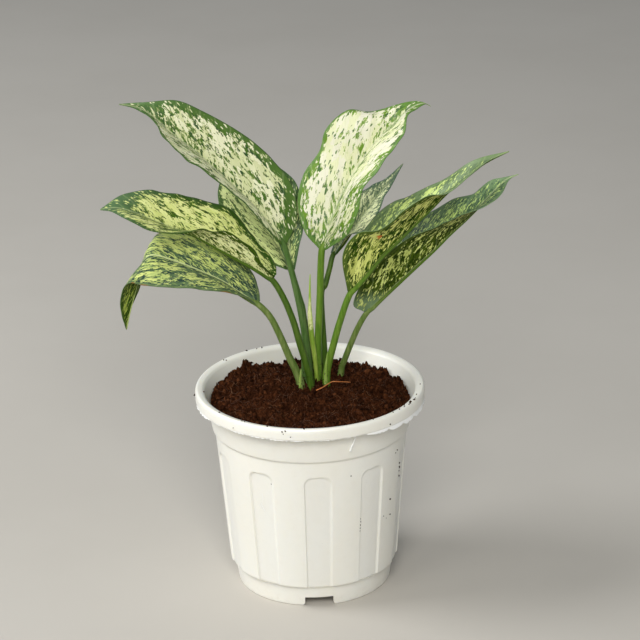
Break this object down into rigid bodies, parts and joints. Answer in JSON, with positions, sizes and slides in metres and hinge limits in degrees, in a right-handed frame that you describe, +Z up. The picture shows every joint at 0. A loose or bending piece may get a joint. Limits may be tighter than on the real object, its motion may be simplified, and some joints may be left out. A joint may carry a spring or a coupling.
{
  "type": "potted chinese evergreen",
  "caption": "Variegated chinese evergreen house plant with broad cream and green leaves, growing in a ribbed white plastic nursery pot.",
  "frame": {"origin": "middle of the whole plant's bounding box in plan, on the surface the pot stands on", "axes": "+Z is up; +X is to the right and +Y is away from the viewer as the picture sees the pot"},
  "size_m": [0.267, 0.1748, 0.3331],
  "materials": {
    "pot": "moulded off-white plastic, satin sheen",
    "soil": "dark fibrous potting mix, matte",
    "leaf": "smooth leaf with a waxy sheen, mottled green and cream",
    "new_leaf": "young leaf, smooth, pale yellow-green"
  },
  "bodies": {
    "root": {"pot": "pot", "soil": "soil", "leaf_upper_left": "leaf", "leaf_middle_left": "leaf", "leaf_lower_left": "leaf", "leaf_behind_left": "leaf", "leaf_behind_middle": "leaf", "leaf_centre": "leaf", "leaf_behind_right": "leaf", "leaf_right_upper": "leaf", "leaf_right_lower": "leaf", "new_leaf": "new_leaf"}
  },
  "joints": []
}
